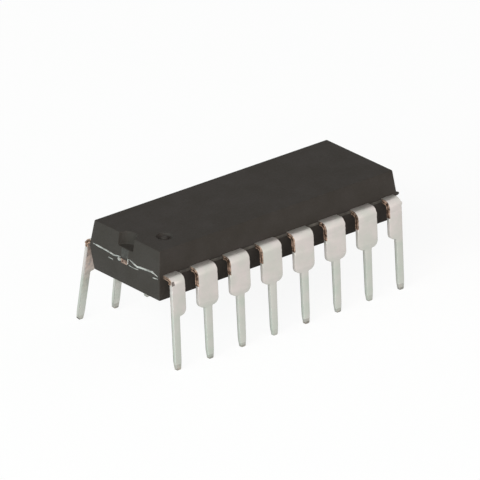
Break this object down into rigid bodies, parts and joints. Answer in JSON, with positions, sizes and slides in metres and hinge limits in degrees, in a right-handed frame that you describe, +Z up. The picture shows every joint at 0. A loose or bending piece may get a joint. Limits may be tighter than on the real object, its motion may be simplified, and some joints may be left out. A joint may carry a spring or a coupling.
{
  "type": "dip integrated circuit chip",
  "caption": "Plastic dual in-line chip package with a notched end, a dimple by its first pin and formed tin-plated leads along both sides; the lead frame, die and bond wires are inside.",
  "frame": {"origin": "centre of the pin field, between the two rows, in the plane of the lowest pin tips", "axes": "+X along the body away from its notched end, +Y across the rows away from pin 1, +Z up"},
  "size_m": [0.0191, 0.0094, 0.0074],
  "materials": {
    "moulding_resin": "dark grey silica-filled epoxy, finely eroded mould texture",
    "tinned_lead": "dull tin plate on copper alloy sheet, bare copper where the dam bars were cut",
    "copper_frame": "bare copper alloy sheet",
    "silver_adhesive": "silver-filled epoxy adhesive",
    "silicon": "polished silicon",
    "gold_wire": "drawn gold wire"
  },
  "bodies": {
    "root": {"body": "moulding_resin", "lead_1": "tinned_lead", "lead_2": "tinned_lead", "lead_3": "tinned_lead", "lead_4": "tinned_lead", "lead_5": "tinned_lead", "lead_6": "tinned_lead", "lead_7": "tinned_lead", "lead_8": "tinned_lead", "lead_9": "tinned_lead", "lead_10": "tinned_lead", "lead_11": "tinned_lead", "lead_12": "tinned_lead", "lead_13": "tinned_lead", "lead_14": "tinned_lead", "lead_15": "tinned_lead", "lead_16": "tinned_lead", "die_paddle": "copper_frame", "die_attach": "silver_adhesive", "die": "silicon", "bond_wire_1": "gold_wire", "bond_wire_2": "gold_wire", "bond_wire_3": "gold_wire", "bond_wire_4": "gold_wire", "bond_wire_5": "gold_wire", "bond_wire_6": "gold_wire", "bond_wire_7": "gold_wire", "bond_wire_8": "gold_wire", "bond_wire_9": "gold_wire", "bond_wire_10": "gold_wire", "bond_wire_11": "gold_wire", "bond_wire_12": "gold_wire", "bond_wire_13": "gold_wire", "bond_wire_14": "gold_wire", "bond_wire_15": "gold_wire", "bond_wire_16": "gold_wire"}
  },
  "joints": []
}
